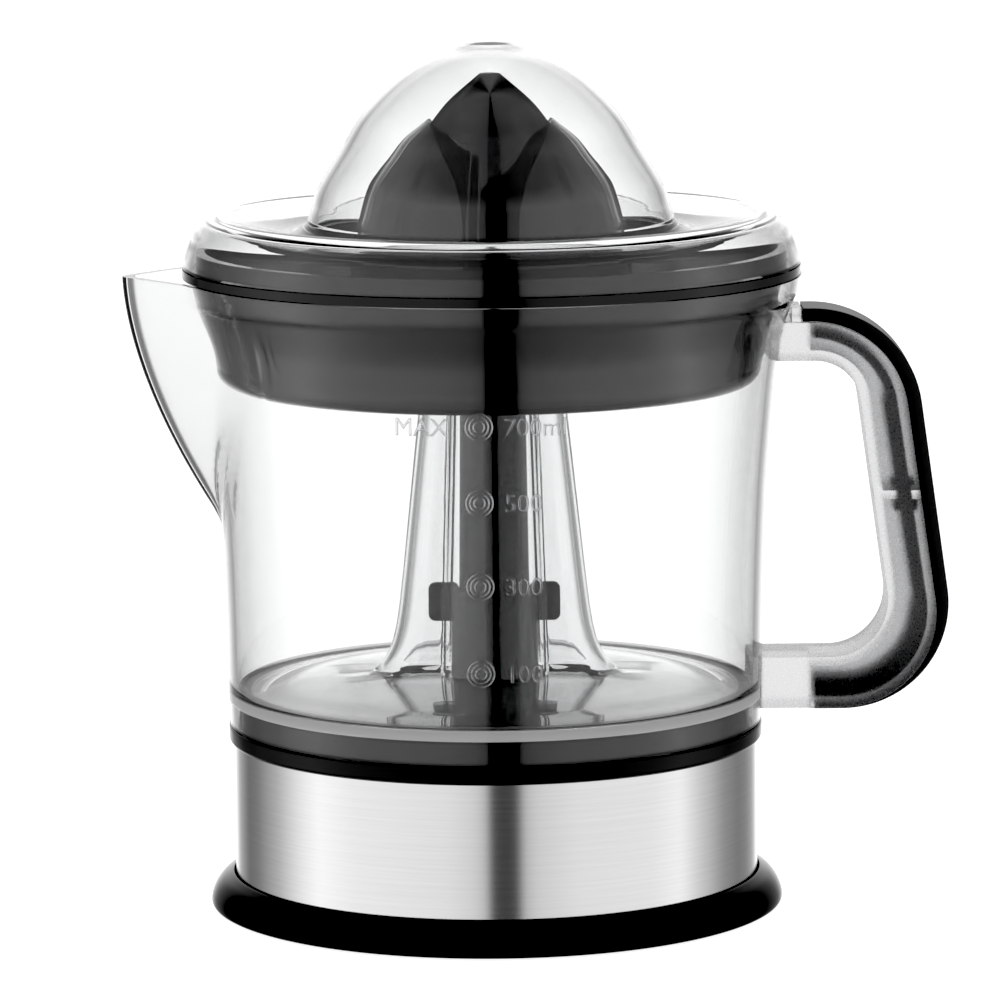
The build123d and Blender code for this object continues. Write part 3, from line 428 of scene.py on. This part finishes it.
# ---- Parts inside the base and on the shaft ------------------------------------------------------
# Motor, gears, shaft, bushes, spring and switch, seen only when the base is opened. Each is a
# stock part in its own metal or plastic, held between the bottom cover and the gearbox plate.
plain_steel = finish_on("plain_steel", {
    "Base Color": grey(0.45), "Metallic": 1.0, "Roughness": 0.3},
    moulded_skin(900.0, 0.00002, 0.25, 0.4))
bronze = finish_on("bronze", {
    "Base Color": (0.45, 0.27, 0.11, 1.0), "Metallic": 1.0, "Roughness": 0.4},
    moulded_skin(3000.0, 0.00003, 0.35, 0.5))
copper = finish_on("copper", {
    "Base Color": (0.5, 0.16, 0.06, 1.0), "Metallic": 1.0, "Roughness": 0.35},
    moulded_skin(3000.0, 0.00003, 0.3, 0.45))
nylon = finish_on("nylon", {
    "Base Color": (0.72, 0.7, 0.66, 1.0), "Roughness": 0.45, "Subsurface Weight": 0.1},
    moulded_skin(1800.0, 0.00003, 0.4, 0.5))
inner_finish = {"plain_steel": plain_steel, "bronze": bronze, "copper": copper,
                "white_nylon": nylon, "magnet": matt_black, "switch_black": matt_black,
                "rubber": matt_black}
slot_of = {row["node"]: row["material_slot"] for row in frame["record"]["subparts"]}
for name, node in frame["nodes"].items():
    if slot_of[name] in inner_finish:
        paint(node, inner_finish[slot_of[name]])

# ---- Strainer -----------------------------------------------------------------------------------
# A dark glossy bowl that hangs in the jug by its flange, with a raised lip that the lid sits round
# and slots in the floor that let the juice through.
charcoal = finish_on("charcoal", {
    "Base Color": grey(0.008), "Roughness": 0.08, "Specular IOR Level": 0.5},
    moulded_skin(500.0, 0.00001, 0.05, 0.12))
paint(frame["nodes"]["strainer"], charcoal)

# ---- Cones --------------------------------------------------------------------------------------
# The small cone has four sharp main ribs and finer ones between; the large one is a sleeve of two
# petals that drops over it, with a V window front and back.
cone_low, cone_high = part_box("small_cone")
cone_z, cone_top = cone_low.z / MM, cone_high.z / MM
cone_r = 22.5
main_rib = math.radians(-98.0)


def between(rows, value):
    """Reads a list of (value, result) pairs, smoothly, at any value."""
    for (a, low), (b, high) in zip(rows, rows[1:]):
        if value <= b:
            t = max(0.0, (value - a) / (b - a))
            return low + (high - low) * t
    return rows[-1][1]


def bump_at(angle, centre, width):
    """A soft ridge: one at its centre and nothing a couple of widths away."""
    off = (angle - centre + math.pi) % (2 * math.pi) - math.pi
    return math.exp(-(off / width) ** 2)


body_share = 0.8


def fluted(angle, height_share):
    """Radius of the small cone over that of its ribs: sharp ribs and hollow faces between."""
    off = (angle - main_rib) % (math.pi / 2)
    off = min(off, math.pi / 2 - off) / (math.pi / 4)
    share = body_share + (1 - body_share) * (1 - off) ** 3.4
    fade = max(0.0, min(1.0, (0.72 - height_share) / 0.25))
    for step in range(4):
        share += 0.045 * fade * bump_at(angle, main_rib + step * math.pi / 2 - 0.15, 0.025)
    return share


rib_curve = curve_through([
    (cone_r, cone_z + 2), (0.98 * cone_r, cone_z + 14), (0.93 * cone_r, cone_z + 26),
    (0.83 * cone_r, cone_z + 36.4), (0.71 * cone_r, cone_top - 14.8),
    (0.57 * cone_r, cone_top - 10.6), (0.44 * cone_r, cone_top - 7.0),
    (0.28 * cone_r, cone_top - 3.6), (2.2, cone_top - 0.1)], 7)
small_outline = [(29.0, cone_z), (29.0, cone_z + 1.5), (28.5, cone_z + 2.0)] + rib_curve
small_outline += [(1.2, cone_top), (0.0, cone_top - 0.4), (0.0, cone_top - 8.0),
                  (9.0, cone_top - 20.0), (14.5, cone_z + 26.0), (15.8, cone_z)]
small_cone = turned_piece("small_cone_ribbed", small_outline, 480)
for vertex in small_cone.data.vertices:
    x, y, z = vertex.co
    if z > (cone_z + 2.2) * MM and math.hypot(x, y) > 0.1 * MM:
        outer = between([(h, r) for r, h in rib_curve], z / MM)
        if math.hypot(x, y) > (outer * 0.9) * MM:
            share = fluted(math.atan2(y, x), (z / MM - cone_z) / (cone_top - cone_z))
            vertex.co.x, vertex.co.y = x * share, y * share
sharp_edges(small_cone, 45)
paint(small_cone, charcoal)
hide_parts("small_cone")
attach(small_cone, "small_cone")

sleeve_low, sleeve_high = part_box("large_cone")
sleeve_z, petal_top = sleeve_low.z / MM, sleeve_high.z / MM
sleeve_r = sleeve_high.x / MM - 1.0
petal_curve = curve_through([
    (sleeve_r, sleeve_z), (0.995 * sleeve_r, petal_top - 44.0), (0.98 * sleeve_r, petal_top - 35.0),
    (0.95 * sleeve_r, petal_top - 25.7), (0.858 * sleeve_r, petal_top - 15.8),
    (0.78 * sleeve_r, petal_top - 11.5), (0.70 * sleeve_r, petal_top - 8.2),
    (0.60 * sleeve_r, petal_top - 4.0), (14.4, petal_top)], 6)
window = [(petal_top - 36.6, 6.2), (petal_top - 18.0, 6.3), (petal_top - 11.5, 7.9),
          (petal_top - 6.0, 10.8), (petal_top, 13.6)]
rib_height = 0.85
steps_across = 160
petal_shape = bmesh.new()
for side in (0.0, math.pi):
    sheet_verts = bmesh.ops.create_grid(petal_shape, x_segments=steps_across,
                                        y_segments=len(petal_curve) - 1, size=1.0)["verts"]
    for index, vertex in enumerate(sheet_verts):
        row, step = divmod(index, steps_across + 1)
        r, z = petal_curve[row]
        half = between(window, z) if z > petal_top - 36.5 else 0.0
        angle = math.acos(min(1.0, half / r)) * (2 * step / steps_across - 1.0)
        lift = sum(bump_at(angle, math.radians(c), 0.045) for c in (-48, -24, 0, 24, 48))
        out = r + rib_height * lift * min(1.0, (petal_top - z) / 14.0)
        vertex.co = (out * math.cos(angle + side) * MM, out * math.sin(angle + side) * MM, z * MM)
bmesh.ops.remove_doubles(petal_shape, verts=petal_shape.verts, dist=1e-6)
bmesh.ops.solidify(petal_shape, geom=petal_shape.faces[:], thickness=1.6 * MM)
bmesh.ops.recalc_face_normals(petal_shape, faces=petal_shape.faces)
petals = finished("large_cone_petals", petal_shape)
petals.data.shade_smooth()
sharp_edges(petals, 45)
paint(petals, charcoal)
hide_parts("large_cone")
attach(petals, "large_cone")

# ---- Jug ----------------------------------------------------------------------------------------
# One clear moulding: skirt, wall, V spout, coned floor and the two-lobed chimney round the tower.
# It is polished all over, but a painted highlight, a pale diffuse ring, marks where the floor's
# thick edge meets the wall, in place of light piped along the floor.
clear_plastic = finish_on("clear_plastic", {
    "Base Color": (0.93, 0.935, 0.935, 1.0), "Roughness": 0.0, "IOR": 1.52,
    "Transmission Weight": 1.0})


def painted_highlight_ring(material, z_mm, half_mm, r_mm, strength):
    """Paints a highlight: mixes a pale diffuse surface into a ring of the material, at a height and
    outside a radius.
    """
    bench = Shop(material.node_tree, clear=False)
    surface = next(n for n in bench.tree.nodes if n.type == "OUTPUT_MATERIAL").inputs["Surface"]
    polished = Wire(bench.tree, surface.links[0].from_socket)
    parts = bench.node("SeparateXYZ", Vector=bench.wire("TexCoord", "Object"))
    px, py, pz = (Wire(bench.tree, out) for out in parts.outputs)
    radius = (px * px + py * py).math("SQRT")
    ring = (pz - z_mm * MM).math("ABSOLUTE").math("LESS_THAN", half_mm * MM)
    painted_highlight_mask = ring * radius.math("GREATER_THAN", r_mm * MM) * strength
    painted_highlight = bench.wire("BsdfDiffuse", Color=grey(0.75))
    plug(bench.tree, surface, bench.wire("MixShader", _0=painted_highlight_mask, _1=polished, _2=painted_highlight))


# Painted highlight: a pale ring at the floor's thick edge, standing in for light piped through the
# floor.
painted_highlight_ring(clear_plastic, 49.2, 1.25, 55.5, 0.4)
jug_height = 101.7
skirt_z = jug_low.z / MM
rim_z = skirt_z + jug_height
rim_r = jug_high.y / MM
skirt_r = rim_r - 9.6
spout_tip_r = -jug_low.x / MM
spout_slope = math.radians(53.0)
spout_drop = 55.7
spout_root_z = rim_z - spout_drop
nose = 0.03


def wall_line(inset):
    """The jug's wall from its skirt to its rim, moved in by this much."""
    shape = [(0.0, 0.0), (0.35, 0.10), (0.6, 0.27), (1.5, 0.51), (3.1, 0.71), (4.1, 0.80)]
    line = [(skirt_r + gain - inset, skirt_z + part * jug_height) for gain, part in shape]
    line += [(rim_r - 4.5 - inset, rim_z - 13.2), (rim_r - 1.9 - inset, rim_z - 6.2),
             (rim_r - 0.6 - inset, rim_z - 3.6), (rim_r - inset, rim_z)]
    return curve_through(line, 9)


def blend_max(a, b, soft):
    """The larger of two lengths, with a soft hand-over between them."""
    h = max(soft - abs(a - b), 0.0) / soft
    return max(a, b) + h * h * soft * 0.25


def spout_distance(z, phi, setback):
    """How far the spout's side stands from the axis, at this angle from its rounded edge."""
    phi = math.sqrt(phi * phi + nose * nose) - nose
    part = max(0.0, min(1.0, (z - spout_root_z) / (spout_drop + 0.6)))
    root = skirt_r + 1.3
    tip = root + (spout_tip_r - root) * (1 - (1 - part) ** 1.7) - setback
    if phi + spout_slope > math.pi / 2:
        return 0.0
    return tip * math.sin(spout_slope) / math.sin(spout_slope + phi)


chimney_mark_z, chimney_taper = 68.0, 0.1045
chimney_half_w, chimney_round_r, chimney_lobe_r = 21.6, 12.8, 6.0


def chimney_distance(z, phi, inset):
    """Radius of the chimney at this angle from +X: a round middle and a lobe each side."""
    grow = (chimney_mark_z - z) * chimney_taper
    flare = 5.0 * math.exp((skirt_z + 11.2 - z) / 4)
    half = chimney_half_w + grow + flare - inset
    round_r = chimney_round_r + 0.37 * grow + 0.25 * flare - inset
    lobe = chimney_lobe_r + 0.3 * grow + 0.5 * flare - inset
    c, s = abs(math.cos(phi)), abs(math.sin(phi))
    centre = half - lobe
    side = lobe / s if s > 1e-6 else 1e9
    if side * c > centre:
        root = max(lobe * lobe - (centre * s) ** 2, 0.0)
        side = centre * c + math.sqrt(root)
    return blend_max(side, round_r, 0.6)


jug_wall, chimney_wall = 2.0, 1.8
floor_z = skirt_z + 5.6
floor_top = floor_z + 1.8
chimney_top = 117.0
outer_mark, inner_mark = 24.0, 18.0
outer_line = wall_line(0.0)
inner_line = [p for p in reversed(wall_line(jug_wall)) if p[1] > floor_top + 1.0]
floor_climb = 3.8
heights = [floor_top + floor_climb + h
           for h in (0.0, 0.6, 1.3, 2.2, 3.4, 5.0, 7.2, 10.5, 15.0, 24.0, 36.0, 50.0)]
chimney_up = [(outer_mark, z) for z in heights] + [(outer_mark, chimney_top - 0.8)]
chimney_down = [(inner_mark, z) for z in [chimney_top - 1.8] + list(reversed(heights[1:]))]
inside_wall = skirt_r - jug_wall
journal_r = 8.2
jug_outline = outer_line + [(rim_r - 0.5, rim_z + 0.1), (rim_r - jug_wall + 0.5, rim_z + 0.1)]
jug_outline += inner_line + [
    (inside_wall + 0.1, floor_top + 0.6), (inside_wall - 0.7, floor_top + 0.1),
    (45.0, floor_top + 2.0), (36.0, floor_top + 3.0)]
jug_outline += chimney_up + [
    (journal_r + 0.6, chimney_top), (journal_r, chimney_top - 0.5), (journal_r, chimney_top - 1.8)]
jug_outline += chimney_down + [
    (inner_mark, floor_z + floor_climb), (36.0, floor_z + 3.0), (45.0, floor_z + 2.0),
    (inside_wall, floor_z), (inside_wall, skirt_z + 0.3), (inside_wall + 0.3, skirt_z)]
jug = turned_piece("jug_moulding", jug_outline, 480)
for vertex in jug.data.vertices:
    x, y, z = vertex.co / MM
    r = math.hypot(x, y)
    angle = math.atan2(y, x)
    new_r = r
    if r > inside_wall - 1.5 and z > spout_root_z - 2:
        outer_r = min(outer_line, key=lambda p: abs(p[1] - z))[0]
        setback = 0.0 if r > outer_r - 1.0 else jug_wall / math.sin(spout_slope)
        reach_out = spout_distance(z, math.pi - abs(angle), setback)
        new_r = blend_max(r, reach_out, 2.0) if reach_out > r - 2.0 else r
    elif abs(r - outer_mark) < 0.01:
        new_r = chimney_distance(z, angle, 0.0)
    elif abs(r - inner_mark) < 0.01:
        new_r = chimney_distance(z, angle, chimney_wall)
    vertex.co = (new_r * math.cos(angle) * MM, new_r * math.sin(angle) * MM, z * MM)
sharp_edges(jug, 42)
paint(jug, clear_plastic)
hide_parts("jug")
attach(jug, "jug")

# ---- Volume marks -----------------------------------------------------------------------------
# Plain figures and rings raised on the front of the jug by its mould, in the same clear plastic,
# with the slightly softer polish of small cut detail. They are bent round the wall.
mark_plastic = finish_on("mark_plastic", {
    "Base Color": (0.9, 0.905, 0.91, 1.0), "Roughness": 0.12, "IOR": 1.5,
    "Transmission Weight": 1.0})


def bend_on_wall(piece, x_mm, z_mm, lift):
    """Moves a flat piece drawn in X and Z onto the jug's front and wraps it round."""
    for vertex in piece.data.vertices:
        x, y, z = vertex.co / MM
        wall_r = between([(h, r) for r, h in outer_line], z + z_mm) + lift - y
        angle = (x + x_mm) / wall_r
        vertex.co = Vector((wall_r * math.sin(angle), -wall_r * math.cos(angle), z + z_mm)) * MM


def raised_text(words, x_mm, z_mm, size):
    """Figures with rounded strokes, as a mesh that starts at x and stands on z."""
    curve = bpy.data.curves.new("figures_" + words, "FONT")
    curve.body = words
    curve.size = size * MM
    curve.extrude = 0.05 * MM
    curve.bevel_depth = 0.13 * MM
    curve.bevel_resolution = 2
    curve.offset = -0.13 * MM
    curve.resolution_u = 4
    holder = placed("figures", curve)
    bpy.context.view_layer.update()
    mesh = bpy.data.meshes.new_from_object(holder)
    bpy.data.objects.remove(holder)
    mesh.transform(Matrix.Rotation(math.pi / 2, 4, "X"))
    mesh.materials.clear()
    piece = placed("figures_" + words, mesh)
    bend_on_wall(piece, x_mm, z_mm, 0.1)
    paint(piece, mark_plastic)
    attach(piece, "jug")


quarter = Matrix.Rotation(math.pi / 2, 3, "X")
figure_size = 5.6
raised_text("MAX", -21.8, 115.8, figure_size)
for words, mark_z in (("700ml", 117.8), ("500", 101.0), ("300", 82.5), ("100", 63.2)):
    raised_text(words, 2.4, mark_z - 2.0, figure_size)
    for ring_r in (2.95, 2.1, 1.2):
        ring_shape = bmesh.new()
        hoop = bmesh.ops.create_circle(ring_shape, segments=12, radius=0.17 * MM)["verts"]
        bmesh.ops.translate(ring_shape, verts=hoop, vec=(ring_r * MM, 0, 0))
        bmesh.ops.rotate(ring_shape, verts=hoop, cent=(0, 0, 0), matrix=quarter)
        bmesh.ops.spin(ring_shape, geom=ring_shape.edges[:] + ring_shape.verts[:], cent=(0, 0, 0),
                       axis=(0, 0, 1), angle=2 * math.pi, steps=40, use_merge=True)
        bmesh.ops.rotate(ring_shape, verts=ring_shape.verts, cent=(0, 0, 0), matrix=quarter)
        bmesh.ops.recalc_face_normals(ring_shape, faces=ring_shape.faces)
        ring = finished("mark_ring", ring_shape)
        ring.data.shade_smooth()
        bend_on_wall(ring, -3.0, mark_z, 0.1)
        paint(ring, mark_plastic)
        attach(ring, "jug")

# ---- Handle ------------------------------------------------------------------------------------
# A frosted clear channel moulding, joined to the jug at both ends, with a soft black strip let
# into its open back. The strip's tongue runs along inside the channel, and two pegs beside the
# moulding's cross rib hold it there.
def inner_texture(bench, skin):
    """A fine texture all over the moulding."""
    place = bench.wire("TexCoord", "Object")
    grain = bench.wire("TexNoise", "Fac", Vector=place, Scale=1800.0, Detail=2.0)
    plug(bench.tree, skin.inputs["Roughness"], grain * 0.16 + 0.2)


frosted_plastic = finish_on("frosted_plastic", {
    "Base Color": (0.68, 0.683, 0.687, 1.0), "Roughness": 0.22, "IOR": 1.5,
    "Transmission Weight": 1.0}, inner_texture)
soft_black = finish_on("soft_black", {"Base Color": grey(0.012), "Roughness": 0.42},
                       moulded_skin(3500.0, 0.00005, 0.36, 0.5))


def tongue_painted_shade(bench, skin):
    """Painted shade: colour graded by height, nearly black along the bottom arm and grey higher up.
    """
    place = bench.wire("TexCoord", "Object")
    height = Wire(bench.tree, bench.node("SeparateXYZ", Vector=place).outputs[2])
    rise = ((height - 52.0 * MM) * (1 / (16.0 * MM))).math("MAXIMUM", 0.0).math("MINIMUM", 1.0)
    plug(bench.tree, skin.inputs["Base Color"], rise * 0.3 + 0.015)


# Painted shade: the tongue and pegs take their colour from height, darkest along the bottom arm, so
# the handle looks shaded low down.
tongue_painted_shade_plastic = finish_on("tongue_painted_shade_plastic", {"Roughness": 0.5, "Specular IOR Level": 0.3},
                           tongue_painted_shade)
paint(frame["nodes"]["handle"], frosted_plastic)
paint(frame["nodes"]["handle_grip"], soft_black)

grip_low, grip_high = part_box("handle_grip")
handle_top, handle_foot = grip_high.z / MM, grip_low.z / MM
handle_reach, handle_lean = 93.8, 0.1375
strip_t, strip_end_t = 3.0, 0.6
channel_start = 72.4
corner_steps = 24
low_reach = handle_reach + handle_lean * (handle_top - handle_foot)


def back_line(inset):
    """A C-shaped line in X and Z, this far in from the face the strip lies on."""
    top, foot_z = handle_top - strip_t - inset, handle_foot + strip_end_t + inset
    corners = [Vector((60, top)), Vector((handle_reach - strip_t - inset, top)),
               Vector((low_reach - strip_t - 0.2 - inset, foot_z)), Vector((60, foot_z))]
    line = [corners[0]]
    for before, at, after, radius in ((*corners[:3], 21.8 - inset), (*corners[1:], 21.5 - inset)):
        first, last = (before - at).normalized(), (after - at).normalized()
        half = math.acos(first.dot(last)) / 2
        centre = at + (first + last).normalized() * radius / math.sin(half)
        begin = at + first * radius / math.tan(half) - centre
        end = at + last * radius / math.tan(half) - centre
        for k in range(corner_steps + 1):
            spoke = begin.lerp(end, k / corner_steps)
            line.append(centre + spoke.normalized() * radius)
    line.append(corners[3])
    return line


def tongue_line(top_inset, low_inset):
    """A line along the channel, whose inset changes half way down."""
    pairs = list(zip(back_line(top_inset), back_line(low_inset)))
    line = []
    for k, (upper, lower) in enumerate(pairs):
        low_share = min(max((k / (len(pairs) - 1) - 0.5) * 6 + 0.5, 0.0), 1.0)
        spot = upper.lerp(lower, low_share)
        line.append(Vector((max(spot.x, channel_start), spot.y)))
    return line


tongue_half = 4.6
tongue_lines = list(zip(tongue_line(1.8, 1.9), tongue_line(3.9, 6.2)))
kept_steps = [pair for pair in tongue_lines[1:-1] if min(pair[0].x, pair[1].x) > channel_start]
kept_steps = [tongue_lines[0]] + kept_steps + [tongue_lines[-1]]
tongue_shape = bmesh.new()
edge_chains = []
for line in zip(*kept_steps):
    dots = [tongue_shape.verts.new((p.x * MM, -tongue_half * MM, p.y * MM)) for p in line]
    edge_chains += [tongue_shape.edges.new(pair) for pair in zip(dots, dots[1:])]
bmesh.ops.bridge_loops(tongue_shape, edges=edge_chains)
pulled = bmesh.ops.extrude_face_region(tongue_shape, geom=tongue_shape.faces[:])["geom"]
bmesh.ops.translate(tongue_shape, vec=(0, 2 * tongue_half * MM, 0),
                    verts=[item for item in pulled if isinstance(item, bmesh.types.BMVert)])
bmesh.ops.recalc_face_normals(tongue_shape, faces=tongue_shape.faces)
tongue = finished("grip_tongue", tongue_shape)
tongue.data.shade_smooth()
sharp_edges(tongue, 40)
paint(tongue, tongue_painted_shade_plastic)
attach(tongue, "jug")
for name, z, height in (("grip_peg_low", 91.1, 2.8), ("grip_peg_high", 96.2, 1.4)):
    middle_x = handle_reach - 6.8 + handle_lean * (handle_top - z)
    peg = block_piece(name, (5.4, 7.0, height), (middle_x, 0, z), 0.5, 3)
    paint(peg, tongue_painted_shade_plastic)
    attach(peg, "jug")

# ---- Lid ---------------------------------------------------------------------------------------
# One polished clear moulding: a rounded skirt that stands on the strainer's flange, a dished top
# and a dome over the cones. It lifts straight off.
lid_low, lid_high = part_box("lid")
lid_z, lid_top = lid_low.z / MM, lid_high.z / MM
edge_top = lid_z + 11.3
dish_z = edge_top - 4.0
dome_r = 40.5
rise = lid_top - dish_z


def lid_line(t):
    """The lid's outer surface from its skirt to its top, moved in by a thickness."""
    skirt = curve_through([
        (rim_r - 0.3 - t, lid_z), (rim_r - 1.0 - t, lid_z + 2.9), (rim_r - 2.0 - t, lid_z + 5.8),
        (rim_r - 3.7 - t, lid_z + 9.0 - t / 3), (rim_r - 5.6 - t * 0.7, edge_top - 0.7 - t * 0.8),
        (rim_r - 8.5, edge_top - t)], 5)
    dish = curve_through([(rim_r - 9.5, edge_top - 0.1 - t), (55.0, edge_top - 1.6 - t),
                          (47.0, dish_z + 0.1 - t), (43.6 - t * 0.5, dish_z + 0.4 - t)], 4)
    dome = [(dome_r + 1.1 - t, dish_z + 2.2), (dome_r - t, dish_z + 5.4),
            (dome_r - 1.6 - t, dish_z + 0.24 * rise - t * 0.2)]
    shape = [(0.837, 0.43), (0.711, 0.616), (0.519, 0.80), (0.32, 0.926), (0.135, 0.988)]
    dome += [(dome_r * r - t * (0.9 - 0.2 * i), dish_z + rise * z - t * (0.3 + 0.15 * i))
             for i, (r, z) in enumerate(shape)]
    dome.append((0.0, lid_top - t))
    return skirt + dish + curve_through(dome, 7)


lid_outer, lid_inner = lid_line(0.0), lid_line(2.0)
lid = turned_piece("lid_moulding", lid_outer + list(reversed(lid_inner)), 256)
sharp_edges(lid, 42)
paint(lid, clear_plastic)
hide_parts("lid")
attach(lid, "lid")
